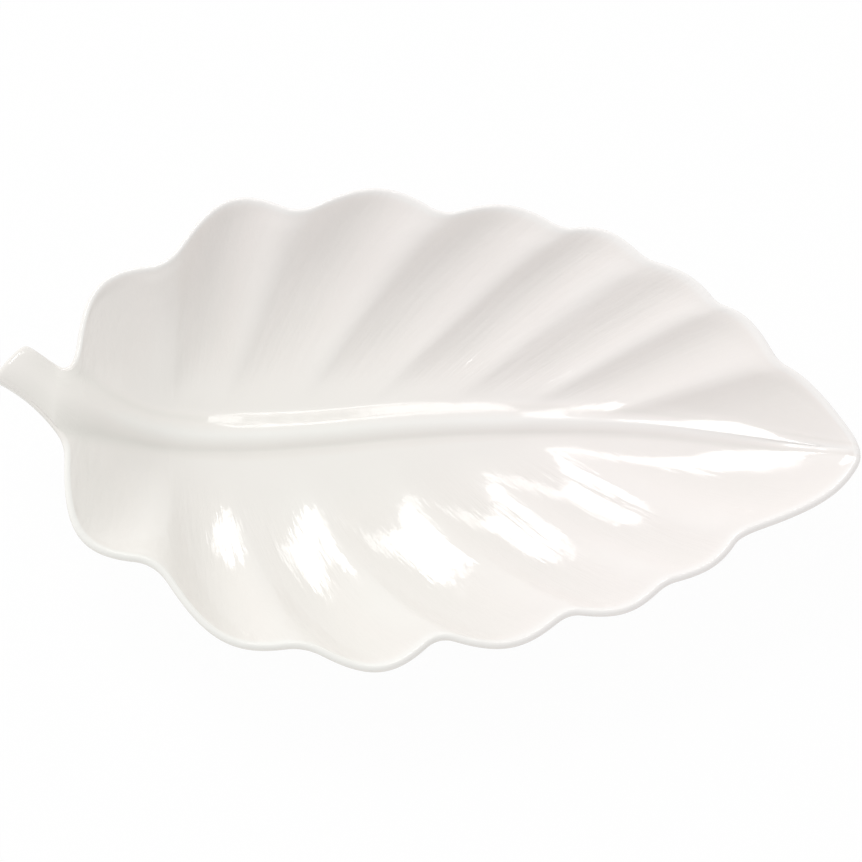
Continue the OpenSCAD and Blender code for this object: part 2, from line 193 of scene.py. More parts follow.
# the whole edge: lobe arcs, with a round corner in each notch, at the neck and at the tip
def edgeLine(side, e):
    last = farCount if side > 0 else nearCount
    r, tip = leaf["notchRound"], leaf["tipRound"]
    k = np.round(e)
    gap = e - k
    line = lobeArc(side, e)
    a, b = np.clip(k, 1, last - 1) - r, np.clip(k, 1, last - 1) + r
    notch = cornerArc(lobeArc(side, a), lobeRun(side, a), lobeArc(side, b), lobeRun(side, b),
                      (gap + r) / (2 * r))
    line = np.where(((k >= 1) & (k < last) & (abs(gap) < r))[..., None], notch, line)
    start = np.full_like(e, r)
    corner = np.broadcast_to(neckCorner(side), line.shape)
    along = np.broadcast_to(neckCorner(side) - flankBend(side), line.shape)
    neck = cornerArc(corner, along, lobeArc(side, start), lobeRun(side, start), gap / r)
    line = np.where(((k == 0) & (gap < r))[..., None], neck, line)
    farEnd, nearEnd = np.full_like(e, farCount - tip), np.full_like(e, nearCount - tip)
    part = (gap + tip) / (2 * tip)
    point = cornerArc(lobeArc(1, farEnd), lobeRun(1, farEnd), lobeArc(-1, nearEnd), lobeRun(-1, nearEnd),
                      part if side > 0 else 1 - part)
    return np.where(((k == last) & (gap > -tip))[..., None], point, line)

# the edge's outward direction, turned to straight across at the neck
def edgeOut(side, e):
    last = farCount if side > 0 else nearCount
    run = edgeLine(side, np.minimum(e + probe, last)) - edgeLine(side, np.maximum(e - probe, 0))
    out = side * unit(np.stack([-run[..., 1], run[..., 0]], -1))
    w = eased(e / (leaf["notchRound"] / 2))[..., None]
    return unit(mix(np.array([0.0, side]), out, w))

# height of the lip's middle, which rises towards the tip
def lipHeight(x):
    return leaf["rimHeight"] - lipRadius + leaf["tipRise"] * eased((x - tipStart) / (length - tipStart))

# where the side vein of a station leaves the midrib
def veinRoot(s):
    roots = np.array(leaf["roots"])
    i = np.clip(np.floor(s).astype(int), 0, farCount - 1)
    fan = leaf["fan"] * eased(s / leaf["fanRun"])
    first = mix(fan, roots[1], np.minimum(s, 1) ** leaf["rootCrowd"])
    place = np.where(i > 0, mix(roots[i], roots[i + 1], s - i), first)
    return np.stack([place * length, ribLine(place * length)], -1)

# a vein: a parabola from the midrib to the rim that sets off across and bends to the tip
def veinLine(side, s, to, t):
    start = veinRoot(s)
    span = to - start
    along = curveThrough(leaf["farBends" if side > 0 else "nearBends"], s / farCount)
    across = mix(leaf["veinAcross"], leaf["tipAcross"], eased(s - farCount + 1))
    bend = start + np.stack([along * span[..., 0], across * span[..., 1]], -1)
    return conicArc(start[:, None], bend[:, None], to[:, None], t, 1)

# S curve of the neck's slope, from 0 at the neck to 1 where the slope ends
def neckSlope(x):
    return eased(x / neckRun)

# a softer S curve for the glazed top: the mean of neckSlope over shorter and longer runs, so
# that its end shows no kink in the highlight
def softSlope(x):
    ends = neckRun * np.linspace(1 - leaf["neckSoft"], 1 + leaf["neckSoft"], leaf["neckRuns"])
    return eased(np.asarray(x)[..., None] / ends).mean(-1)

# how far up to the rim the midrib lies: the neck's slope downwards and a power of the way to
# the tip
def climb(x, slope):
    return (1 - slope(x) + held((x - tipStart) / (length - tipStart)) ** leaf["climbCurve"])[:, None]

# how much of the level floor is left: all up to the middle, none where the tip climbs
def floorLeft(x):
    return eased((leaf["floorEnd"] - x / length) / leaf["floorFade"])[:, None]

# rise of the bowl: a power of the way t that is left past the level floor
def bowl(t, level, power):
    return held((t - level) / (1 - level)) ** power

# crest between channels: w^2 - 1/3 of the way w from a lobe's middle to its notch, where a
# parabola rounds the last part
def crest(e, rounding):
    v = abs(2 * (e - np.floor(e)) - 1)
    over = np.maximum(v - 1 + rounding, 0)
    w = v - over * over / (2 * rounding)
    return w * w - 1 / 3

# height of the channels: the crest's profile, grown from the floor and ended at the rim
def channel(side, s, t, span):
    name = "far" if side > 0 else "near"
    size = crest(edgePlace(side, s), leaf[name + "Crest"]) * eased(s / leaf["channelFirst"])
    size = size * np.minimum(1, np.linalg.norm(span, axis=-1) / (leaf["fullDepth"] * halfBreadth))
    return (leaf["channelDepth"] * size[:, None] * eased((t - leaf["channelStart"]) / leaf[name + "Grow"])
            * eased((1 - t) / leaf["channelEnd"]))

# profile of the midrib's near side: 1 - q^2 of the distance q from its crest, with a
# parabola of size c that eases its foot into the floor
def steepBump(q):
    rise, c = 1 - q * q, leaf["ribRound"]
    return np.where(rise > c, rise, held((rise + c) / (2 * c)) ** 2 * c)

# distance from the midrib's crest line, in half breadths of the midrib
def ribPlace(p):
    return (p[..., 1] - ribLine(p[..., 0])) / ribHalf(p[..., 0])

# the far side spreads out past the neck, and its profile turns into (1 - q^2)^2
def ribBump(p):
    q, spread = ribPlace(p), softSlope(p[..., 0])
    far = q / (1 + leaf["ribSpread"] * spread)
    return np.where(q < 0, steepBump(q), mix(steepBump(far), held(1 - far * far) ** 2, spread))

# middle line of the lip and its outward direction
def lipFrame(side, s):
    e = edgePlace(side, s)
    rim, out = edgeLine(side, e), edgeOut(side, e)
    middle = np.concatenate([rim - lipRadius * out, lipHeight(rim[..., 0])[..., None]], -1)
    return middle, out

# half round lip: the middle line plus the radius times (out cos, sin) of the turn
def lipPoints(frameOfLip, turns):
    middle, out = frameOfLip
    c, d = np.cos(np.radians(turns)), np.sin(np.radians(turns))
    up = np.broadcast_to(d[None, :, None], (len(out), len(c), 1))
    return middle[:, None] + lipRadius * np.concatenate([out[:, None] * c[None, :, None], up], -1)

# top of the bowl on a grid of stations s and ways t along the veins: the height goes from the
# floor to the lip with the bowl's rise, plus the channels and the midrib
def bowlTop(side, s):
    end = lipPoints(lipFrame(side, s), np.array([90 + leaf["lipLean"]]))[:, 0]
    start = veinRoot(s)
    span = end[:, :2] - start
    spread = leaf["ribSpread"] * eased(start[:, 0] / neckRun) if side > 0 else 0
    reach = skin["ribMargin"] * (1 + spread) * ribHalf(start[:, 0]) / np.maximum(abs(span[:, 1]), lipRadius)
    ribEnd = np.minimum(reach / (2 * leaf["veinAcross"]), skin["ribMost"])[:, None]
    j = np.arange(skin["rib"] + skin["wall"] + 1)[None]
    w = held((j - skin["rib"]) / skin["wall"])
    t = np.where(j <= skin["rib"], ribEnd * j / skin["rib"], mix(ribEnd, 1, 1 - (1 - w) ** skin["rimCrowd"]))
    p = veinLine(side, s, end[:, :2], t)
    rise = bowl(t, leaf["floorShare"] * floorLeft(start[:, 0]), leaf["wallCurve"])
    low = mix(leaf["footHeight"] + leaf["floorThickness"], end[:, 2:3], climb(start[:, 0], softSlope))
    z = mix(low, end[:, 2:3], rise) + channel(side, s, t, span) + ribRise(p[..., 0]) * ribBump(p)
    return np.concatenate([p, z[..., None]], -1), t

# underside: level over the foot ring, then up to the lip with the bowl's rise, fluted with the
# top, and a keel under the neck that the stem grows out of
def bowlUnder(side, s):
    end = lipPoints(lipFrame(side, s), np.array([leaf["lipLean"] - 90]))[:, 0]
    start = veinRoot(s)
    span = end[:, :2] - start
    level = mix(leaf["underTipShare"], leaf["underFloorShare"], floorLeft(start[:, 0]))
    j = np.arange(skin["underFloor"] + skin["underWall"] + 1)[None]
    t = np.where(j <= skin["underFloor"], level * j / skin["underFloor"],
                 mix(level, 1, (j - skin["underFloor"]) / skin["underWall"]))
    p = veinLine(side, s, end[:, :2], t)
    low = mix(leaf["footHeight"], end[:, 2:3], climb(start[:, 0], neckSlope))
    z = mix(low, end[:, 2:3], bowl(t, level, leaf["underCurve"]))
    z = z + channel(side, s, t, span) * eased((t - level) / leaf["underGrow"])
    z = z - leaf["keelDepth"] * steepBump(ribPlace(p)) * eased(1 - p[..., 0] / (leaf["keel"] * length))
    return np.concatenate([p, z[..., None]], -1), t


# rings of points round the leaf's section, one for each station: top from the midrib to
# the lip, the lip's half round, and the underside back to the middle, on both sides. The way
# round counts 0 at the midrib, 1 at the lip, lipWay more across it, and 1 more back under.
def leafRings():
    v = np.arange(farCount * skin["lobe"] + 1) / skin["lobe"]
    s = v - skin["notchCrowd"] * np.sin(2 * np.pi * v) / (2 * np.pi)
    turns = 90 + leaf["lipLean"] - 180 * np.arange(1, skin["lip"]) / skin["lip"]
    halves, ways = [], []
    for side in (1, -1):
        top, topT = bowlTop(side, s)
        lip = lipPoints(lipFrame(side, s), turns)
        under, underT = bowlUnder(side, s)
        halves.append(np.concatenate([top, lip, under[:, ::-1]], 1))
        lipT = np.broadcast_to(1 + skin["lipWay"] * np.arange(1, skin["lip"]) / skin["lip"], lip.shape[:2])
        ways.append(np.concatenate([topT, lipT, 2 + skin["lipWay"] - underT[:, ::-1]], 1))
    (far, near), (farWays, nearWays) = halves, ways
    return np.concatenate([far, near[:, -2:0:-1]], 1), np.concatenate([farWays, nearWays[:, -2:0:-1]], 1), s

rings, ways, stations = leafRings()
ringSize = rings.shape[1]
halfRing = ringSize // 2

# the stem: each section turns from the neck's into a rounded bar between the two flanks,
# and the last ones shrink over a quarter round to the cut end
def stemRings(neck):
    centre = (neck[0] + neck[halfRing]) / 2
    a = (neck[:, 1] - centre[1]) / (stem["neckBreadth"] / 2)
    b = (neck[:, 2] - centre[2]) / (stem["thickness"] / 2)
    r = (abs(a) ** stem["power"] + abs(b) ** stem["power"]) ** (1 / stem["power"])
    barA, barB = a / r, b / r
    endHeight = centre[2] + stem["rise"]
    v = (np.arange(skin["stem"] + 1) / skin["stem"])[:, None]
    w = eased(v)
    across = (mix(a, barA, w) + 1) / 2
    nearFlank, farFlank = flank(-1, v[:, 0])[:, None], flank(1, v[:, 0])[:, None]
    plan = mix(nearFlank, farFlank, across[..., None])
    z = mix(neck[:, 2][None], endHeight + barB * stem["thickness"] / 2, w)
    body = np.concatenate([plan, z[..., None]], -1)
    turn = np.radians(90 * np.arange(1, skin["end"] + 1) / skin["end"])[:, None]
    inset = stem["edge"] * (1 - np.cos(turn))
    cap = stemMiddle + (barA * (stem["breadth"] / 2 - inset))[..., None] * stemAcross
    cap = cap + stem["edge"] * np.sin(turn)[..., None] * stemAlong
    capZ = endHeight + barB * (stem["thickness"] / 2 - inset)
    return np.concatenate([body, np.concatenate([cap, capZ[..., None]], -1)], 0)

stemRows = stemRings(rings[0])
print("skin worked out:", rings.shape, "blade rings,", stemRows.shape, "stem rings")

# the leaf's frame has its origin at the neck, and the solids' box says where that lies
bladeLow, bladeHigh = (np.array(c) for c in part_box("leaf_dish"))
middleY = (rings[..., 1].max() + rings[..., 1].min()) / 2 * mm
shift = np.array([bladeLow[0], (bladeLow[1] + bladeHigh[1]) / 2 - middleY, 0])

def placed(points):
    return points.reshape(-1, 3) * mm + shift

# quads between neighbouring rings of a tube, as whole arrays
def tubeFaces(rows, size):
    i, j = np.meshgrid(np.arange(rows - 1), np.arange(size), indexing="ij")
    a, b = i * size + j, i * size + (j + 1) % size
    return np.stack([a, a + size, b + size, b], -1).reshape(-1, 4)

# triangles from a middle point to a ring
def fanFaces(ring, middle):
    return np.stack([np.full(len(ring), middle), ring, np.roll(ring, -1)], -1)

# a smooth piece with one material
def newPiece(name, points, faces, material):
    mesh = bpy.data.meshes.new(name)
    mesh.from_pydata(points.tolist(), [], faces)
    mesh.update()
    mesh.polygons.foreach_set("use_smooth", np.ones(len(mesh.polygons), bool))
    mesh.materials.append(material)
    piece = bpy.data.objects.new(name, mesh)
    bpy.context.collection.objects.link(piece)
    return piece


# the glaze is white, lighter over crests, the midrib's top and the lip as thinner glaze and painted
# highlight, greyer in the channels and along the midrib's foot as thicker glaze and painted shade,
# greyer at the neck and under the lip's edge as painted shade, and a little yellower at the near
# left. Lengths here are in metres, as the nodes have them.
glaze = {
    # the crest tint is the light end, thin glaze with painted highlight; the second colour is the dark end,
    # thick glaze with painted shade
    "colour": (0.905, 0.86, 0.832), "poolAndShade": (0.83, 0.80, 0.765), "crestTint": (0.94, 0.915, 0.895),
    "cream": (0.981, 1.0, 0.977), "creamPlace": (-0.07, -0.045, 0.015), "creamReach": (0.05, 0.14),
    "cloudScale": 28.0, "speckScale": 160.0, "cloudShare": 0.35, "cloudLevel": -0.17, "evenPlace": 0.45,
    "speckRange": (0.3, 0.7), "roughRange": (0.045, 0.13), "refraction": 1.52,
    "wave": 0.0003, "brush": 0.0003, "brushStretch": (4.0, 2.0, 0.0), "brushScale": 2.0,
    "brushDetail": 3.0, "brushRough": 0.55, "brushMiddle": 0.5,
}
biscuit = {
    "colour": (0.80, 0.775, 0.735), "stain": (0.62, 0.59, 0.55), "cloudScale": 60.0, "speckScale": 900.0,
    "wearRange": (0.0008, 0.0), "wear": 0.55, "roughRange": (0.64, 0.82), "grain": 0.00008,
}

def newMaterial(name):
    material = bpy.data.materials.new(name)
    material.use_nodes = True
    tree = material.node_tree
    return material, tree, tree.nodes["Principled BSDF"]

# a node with its inputs or settings given by name
def addNode(tree, kind, at=(0, 0), **values):
    node = tree.nodes.new(kind)
    node.location = at
    for key, value in values.items():
        if key in node.inputs:
            node.inputs[key].default_value = value
        else:
            setattr(node, key, value)
    return node

# a math node of a source and a number or a second source
def addMath(tree, operation, source, other, at, clamp=False):
    node = addNode(tree, "ShaderNodeMath", at, operation=operation, use_clamp=clamp)
    tree.links.new(source, node.inputs[0])
    if isinstance(other, float):
        node.inputs[1].default_value = other
    else:
        tree.links.new(other, node.inputs[1])
    return node.outputs[0]

# maps a range of a source onto another range
def addRange(tree, source, given, made, at, blend="LINEAR"):
    node = addNode(tree, "ShaderNodeMapRange", at, interpolation_type=blend)
    node.inputs["From Min"].default_value, node.inputs["From Max"].default_value = given
    node.inputs["To Min"].default_value, node.inputs["To Max"].default_value = made
    tree.links.new(source, node.inputs["Value"])
    return node.outputs["Result"]

# mixes two colours, each a colour or a source, by a source or a number. The colour mix has its
# share and its two colours in these three sockets.
def addMix(tree, share, first, second, at, blend="MIX"):
    node = addNode(tree, "ShaderNodeMix", at, data_type="RGBA", blend_type=blend)
    sockets = (node.inputs[0], node.inputs[6], node.inputs[7])
    for socket, value in zip(sockets, (share, first, second)):
        if isinstance(value, (float, tuple)):
            socket.default_value = value
        else:
            tree.links.new(value, socket)
    return node.outputs[2]

def rgba(c):
    return (c[0], c[1], c[2], 1.0)

# fine speckle and slow cloud, used by the glaze and by the bare foot
kilnNoise = {"cloudDetail": 3.0, "cloudRough": 0.5, "speckDetail": 5.0, "speckRough": 0.65}

def cloudGroup():
    group = bpy.data.node_groups.new("kilnCloud", "ShaderNodeTree")
    sockets = (("Vector", "NodeSocketVector", "INPUT"), ("Scale", "NodeSocketFloat", "INPUT"),
               ("Fine", "NodeSocketFloat", "INPUT"), ("Cloud", "NodeSocketFloat", "OUTPUT"),
               ("Speck", "NodeSocketFloat", "OUTPUT"))
    for name, kind, way in sockets:
        group.interface.new_socket(name, in_out=way, socket_type=kind)
    enter = addNode(group, "NodeGroupInput", (-600, 0))
    leave = addNode(group, "NodeGroupOutput", (400, 0))
    cloud = addNode(group, "ShaderNodeTexNoise", (-200, 120), Detail=kilnNoise["cloudDetail"],
                    Roughness=kilnNoise["cloudRough"])
    speck = addNode(group, "ShaderNodeTexNoise", (-200, -120), Detail=kilnNoise["speckDetail"],
                    Roughness=kilnNoise["speckRough"])
    for node, scale, out in ((cloud, "Scale", "Cloud"), (speck, "Fine", "Speck")):
        group.links.new(enter.outputs["Vector"], node.inputs["Vector"])
        group.links.new(enter.outputs[scale], node.inputs["Scale"])
        group.links.new(node.outputs["Fac"], leave.inputs[out])
    return group

kilnCloud = cloudGroup()

def placeCloud(tree, vector, coat, at):
    node = addNode(tree, "ShaderNodeGroup", at)
    node.node_tree = kilnCloud
    node.inputs["Scale"].default_value = coat["cloudScale"]
    node.inputs["Fine"].default_value = coat["speckScale"]
    tree.links.new(vector, node.inputs["Vector"])
    return node

# the glaze's colour: a ramp from the crest tint, thin glaze with painted highlight, to the dark end,
# thick glaze with painted shade, over the stored depth, clouded a little, times the warm tint that
# fades with the distance from its place
def glazeColour(tree, place, cloud):
    pooledAndShaded = addNode(tree, "ShaderNodeAttribute", (-1100, -60), attribute_name="glazePoolAndShade").outputs["Fac"]
    clouded = addMath(tree, "MULTIPLY", cloud, glaze["cloudShare"], (-980, 60))
    level = addMath(tree, "ADD", clouded, glaze["cloudLevel"], (-820, 60))
    depth = addMath(tree, "ADD", level, pooledAndShaded, (-660, 0), clamp=True)
    ramp = addNode(tree, "ShaderNodeValToRGB", (-480, 60))
    ramp.color_ramp.elements[0].color = rgba(glaze["crestTint"])
    ramp.color_ramp.elements[1].color = rgba(glaze["poolAndShade"])
    ramp.color_ramp.elements.new(glaze["evenPlace"]).color = rgba(glaze["colour"])
    tree.links.new(depth, ramp.inputs["Fac"])
    reach = addNode(tree, "ShaderNodeVectorMath", (-860, 420), operation="DISTANCE")
    reach.inputs[1].default_value = glaze["creamPlace"]
    tree.links.new(place, reach.inputs[0])
    fade = addRange(tree, reach.outputs["Value"], glaze["creamReach"], (0.0, 1.0), (-680, 420), "SMOOTHSTEP")
    cream = addMix(tree, fade, rgba(glaze["cream"]), rgba((1.0, 1.0, 1.0)), (-480, 420))
    return addMix(tree, 1.0, ramp.outputs["Color"], cream, (-200, 200), "MULTIPLY")

# faint brush marks that run along the channels, and over them the glaze's slow wave
def glazeRelief(tree, cloud):
    flow = addNode(tree, "ShaderNodeAttribute", (-1400, -420), attribute_name="glazeFlow").outputs["Vector"]
    stretch = addNode(tree, "ShaderNodeMapping", (-1200, -420))
    stretch.inputs["Scale"].default_value = glaze["brushStretch"]
    tree.links.new(flow, stretch.inputs["Vector"])
    marks = addNode(tree, "ShaderNodeTexNoise", (-1000, -420), Scale=glaze["brushScale"],
                    Detail=glaze["brushDetail"], Roughness=glaze["brushRough"])
    tree.links.new(stretch.outputs["Vector"], marks.inputs["Vector"])
    parts = addNode(tree, "ShaderNodeSeparateXYZ", (-1200, -640))
    tree.links.new(flow, parts.inputs["Vector"])
    level = addMath(tree, "SUBTRACT", marks.outputs["Fac"], glaze["brushMiddle"], (-820, -420))
    marked = addMath(tree, "MULTIPLY", level, parts.outputs["Z"], (-660, -500))
    brush = addNode(tree, "ShaderNodeBump", (-480, -460), Strength=1.0, Distance=glaze["brush"])
    tree.links.new(marked, brush.inputs["Height"])
    wave = addNode(tree, "ShaderNodeBump", (-260, -400), Strength=1.0, Distance=glaze["wave"])
    tree.links.new(cloud, wave.inputs["Height"])
    tree.links.new(brush.outputs["Normal"], wave.inputs["Normal"])
    return wave.outputs["Normal"]

def glazeMaterial():
    material, tree, shader = newMaterial("whiteGlaze")
    place = addNode(tree, "ShaderNodeTexCoord", (-1400, 200)).outputs["Object"]
    cloud = placeCloud(tree, place, glaze, (-1200, 200))
    rough = addRange(tree, cloud.outputs["Speck"], glaze["speckRange"], glaze["roughRange"], (-480, -200))
    tree.links.new(glazeColour(tree, place, cloud.outputs["Cloud"]), shader.inputs["Base Color"])
    tree.links.new(rough, shader.inputs["Roughness"])
    tree.links.new(glazeRelief(tree, cloud.outputs["Cloud"]), shader.inputs["Normal"])
    shader.inputs["IOR"].default_value = glaze["refraction"]
    return material

# bare porcelain of the foot: matt, fine grained, greyed where it has slid over tables
def biscuitMaterial():
    material, tree, shader = newMaterial("bareFoot")
    place = addNode(tree, "ShaderNodeTexCoord", (-1200, 200)).outputs["Object"]
    cloud = placeCloud(tree, place, biscuit, (-950, 200))
    height = addNode(tree, "ShaderNodeSeparateXYZ", (-950, -40))
    tree.links.new(place, height.inputs["Vector"])
    worn = addRange(tree, height.outputs["Z"], biscuit["wearRange"], (0.0, biscuit["wear"]), (-740, -40))
    patchy = addMath(tree, "MULTIPLY", worn, cloud.outputs["Cloud"], (-540, 40), clamp=True)
    colour = addMix(tree, patchy, rgba(biscuit["colour"]), rgba(biscuit["stain"]), (-320, 80))
    rough = addRange(tree, cloud.outputs["Speck"], (0.0, 1.0), biscuit["roughRange"], (-320, -120))
    grain = addNode(tree, "ShaderNodeBump", (-320, -340), Strength=1.0, Distance=biscuit["grain"])
    tree.links.new(cloud.outputs["Speck"], grain.inputs["Height"])
    tree.links.new(colour, shader.inputs["Base Color"])
    tree.links.new(rough, shader.inputs["Roughness"])
    tree.links.new(grain.outputs["Normal"], shader.inputs["Normal"])
    return material

glazeCoat, biscuitCoat = glazeMaterial(), biscuitMaterial()
print("materials made")


# how deep the glaze lies and how much painted shade it carries, from 0 on crests, with painted
# highlight, to 1 in the deepest painted shade. Places and runs are shares of the way round, those of
# the midrib and the neck are in half breadths of the midrib, and the neck's length is in millimetres.
# channel and ribFoot set thicker glaze with painted shade, neck, edge and cutEnd set painted shade, ribTop
# and lip set thinner glaze with painted highlight
coat = {
    "even": 0.336, "channel": 0.28, "channelLevel": 0.5, "channelSlope": 1.1, "crest": 0.3,
    "channelFrom": 0.15, "channelRun": 0.3, "channelRim": 0.06,
    "ribFoot": 0.35, "ribFootPlace": 1.05, "ribFootWidth": 0.28, "ribTop": 0.3, "ribTopWidth": 0.4,
    "lip": 0.4, "lipFrom": 0.97, "lipRun": 0.03,
    "edgeFrom": 1.016, "edgeRun": 0.012, "edgeEnd": 1.3, "edgeFade": 0.25,
    "neck": 0.65, "neckLength": 32.0, "neckWidth": 1.3, "cutEnd": 0.75, "fan": 0.4,
}
# the brush marks start past the midrib and are weaker where the tip's lobes are short
brushMarks = {
    "from": 0.1, "run": 0.18, "tipStation": 5.0, "tipRun": 2.0, "tipLoss": 0.75, "nearShift": 10.0,
}

# depth of the glaze with its painted light: an even coat, more in the channels by how low they lie
# and along the midrib's foot as thicker glaze and painted shade, more at the neck and under the lip's
# edge as painted shade, less on the midrib's top and on the lip as thinner glaze and painted
# highlight. S curves of the way bound the channels, the lip and the edge, and bell curves of the
# distance from the midrib's crest, exp(-q^2), shape the rest.
def poolAndShadeDepth(points, way, s):
    side = np.where(np.arange(ringSize) > halfRing, -1, 1)
    depth = np.zeros(way.shape)
    for sign in (1, -1):
        p, t = points[:, side == sign], way[:, side == sign]
        height = crest(edgePlace(sign, s), coat["crest"])
        low = held(coat["channelLevel"] - coat["channelSlope"] * height)[:, None]
        upWall = eased((t - coat["channelFrom"]) / coat["channelRun"]) * eased((1 - t) / coat["channelRim"])
        q = abs(ribPlace(p))
        ribFoot = np.exp(-((q - coat["ribFootPlace"]) / coat["ribFootWidth"]) ** 2)
        ribTop = np.exp(-(q / coat["ribTopWidth"]) ** 2)
        lip = eased((t - coat["lipFrom"]) / coat["lipRun"])
        pastLip = eased((t - coat["edgeFrom"]) / coat["edgeRun"])
        edge = pastLip * eased((coat["edgeEnd"] - t) / coat["edgeFade"])
        neck = eased(1 - p[..., 0] / coat["neckLength"]) * np.exp(-(q / coat["neckWidth"]) ** 2)
        depth[:, side == sign] = held(
            coat["even"] + coat["channel"] * low * upWall + coat["ribFoot"] * ribFoot
            - coat["ribTop"] * ribTop - coat["lip"] * lip + coat["neck"] * neck + edge)
    return depth

# the brush marks' own coordinates: the station, shifted on the near side, the way round, and how
# strong the marks are, an S curve of the way times what the tip leaves
def brushFlow(way, s):
    station = s[:, None] + np.where(np.arange(ringSize) > halfRing, brushMarks["nearShift"], 0)
    tipLoss = brushMarks["tipLoss"] * eased((s[:, None] - brushMarks["tipStation"]) / brushMarks["tipRun"])
    strength = eased((way - brushMarks["from"]) / brushMarks["run"]) * (1 - tipLoss)
    return np.stack([station, way, strength], -1)

def storeAttribute(mesh, name, kind, values):
    layer = mesh.attributes.new(name, kind, "POINT")
    layer.data.foreach_set("value" if kind == "FLOAT" else "vector", values)

# both sides share the tip's last ring, so its points fold onto their mirror images
def folded(faces, rows):
    last = (rows - 1) * ringSize
    place = faces - last
    return np.where(place < 0, faces, last + np.minimum(place, ringSize - place))

# the glazed skin is one tube, from the stem's cut end to the tip. Its normals are worked out on
# the whole, and then it is parted at the neck into blade and stem.
def skinNormals(rows, faces):
    mesh = bpy.data.meshes.new("wholeSkin")
    mesh.from_pydata(placed(rows).tolist(), [], faces.tolist())
    mesh.update()
    normals = np.zeros(len(mesh.vertices) * 3)
    mesh.vertices.foreach_get("normal", normals)
    bpy.data.meshes.remove(mesh)
    return normals.reshape(-1, 3)

stemBack = stemRows[::-1]
stemCount, bladeCount = len(stemBack), len(rings)
neckStart = (stemCount - 1) * ringSize
skinRows = np.concatenate([stemBack[:-1], rings], 0)
normals = skinNormals(skinRows, folded(tubeFaces(len(skinRows), ringSize), len(skinRows)))

# a glazed piece: its rings from the first one in the skin, and a fan of triangles over each open
# end with its middle, its ring of points and the way it faces
def glazedPiece(name, rows, first, quads, fans, depth, flow):
    kept = quads.max() + 1
    middles = placed(np.array([fan["middle"] for fan in fans]))
    triangles = [fanFaces(fan["ring"], kept + m).tolist() for m, fan in enumerate(fans)]
    points = np.concatenate([placed(rows)[:kept], middles])
    piece = newPiece(name, points, quads.tolist() + sum(triangles, []), glazeCoat)
    # the depth of glaze and painted shade at each point, and a middling value at the fans' middles
    poolAndShade = np.append(depth.ravel()[:kept], np.full(len(fans), coat["fan"]))
    marks = np.append(flow.reshape(-1, 3)[:kept], np.zeros((len(fans), 3)))
    storeAttribute(piece.data, "glazePoolAndShade", "FLOAT", poolAndShade)
    storeAttribute(piece.data, "glazeFlow", "FLOAT_VECTOR", marks)
    own = np.concatenate([normals[first:first + kept], np.array([fan["way"] for fan in fans])])
    piece.data.normals_split_custom_set_from_vertices(own.tolist())
    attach(piece, "root")
    return piece

# the blade's glaze depth with its painted shade and highlight, and its brush marks
bladePoolAndShade, bladeFlow = poolAndShadeDepth(rings, ways, stations), brushFlow(ways, stations)
neckMiddlePoint = (rings[0, 0] + rings[0, halfRing]) / 2
endMiddlePoint = (stemBack[0, 0] + stemBack[0, halfRing]) / 2
around = np.arange(ringSize)

bladeQuads = folded(tubeFaces(bladeCount, ringSize), bladeCount)
bladeFans = [{"middle": neckMiddlePoint, "ring": around, "way": (-1.0, 0.0, 0.0)}]
blade = glazedPiece("leafBlade", rings, neckStart, bladeQuads, bladeFans, bladePoolAndShade, bladeFlow)
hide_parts("leaf_dish")

# the stem carries on the neck's glaze and painted shade, which turns into an even, fairly deep painted
# shade at the cut end, and its brush marks fade out towards the cut end
fromNeck = np.linspace(1, 0, stemCount)[:, None]
stemPoolAndShade = mix(bladePoolAndShade[:1], coat["cutEnd"], fromNeck)
stemFlow = np.repeat(bladeFlow[:1], stemCount, 0)
stemFlow[..., 2] *= 1 - fromNeck
stemFans = [{"middle": neckMiddlePoint, "ring": (neckStart + around)[::-1], "way": (1.0, 0.0, 0.0)},
            {"middle": endMiddlePoint, "ring": around, "way": (*stemAlong, 0.0)}]
lug = glazedPiece("stemLug", stemBack, 0, tubeFaces(stemCount, ringSize), stemFans, stemPoolAndShade, stemFlow)
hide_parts("stem_handle")
print("blade and stem built")


# foot ring: a tapered profile with rounded tread edges, carried round two half circles joined by
# straight sides
foot = {
    "length": 104.0, "breadth": 62.0, "root": 9.0, "tread": 4.0, "bevel": 0.6,
    "place": (0.372, 0.02), "edgeRound": 0.7, "edgeOut": 0.15, "edgeSteps": 8, "wallSteps": 11,
    "endSteps": 64, "sideSteps": 24,
}

# the outer half is a round tread edge, a parabola from the tread to the wall, and the straight
# wall up to the root. The inner half mirrors it.
def footProfile():
    tread, root, height = foot["tread"] / 2, foot["root"] / 2, leaf["footHeight"]
    wall = unit(np.array([root - tread - foot["bevel"], height - foot["bevel"]]))
    corner = np.array([tread + foot["edgeOut"], 0.0])
    low, high = corner - np.array([foot["edgeRound"], 0]), corner + wall * foot["edgeRound"]
    edge = conicArc(low, corner, high, np.linspace(0, 1, foot["edgeSteps"] + 1), 1)
    up = np.linspace(0, 1, foot["wallSteps"] + 1)[1:, None]
    outer = np.concatenate([edge, mix(high, np.array([root, height]), up)])
    return np.concatenate([outer[::-1] * np.array([-1, 1]), outer])

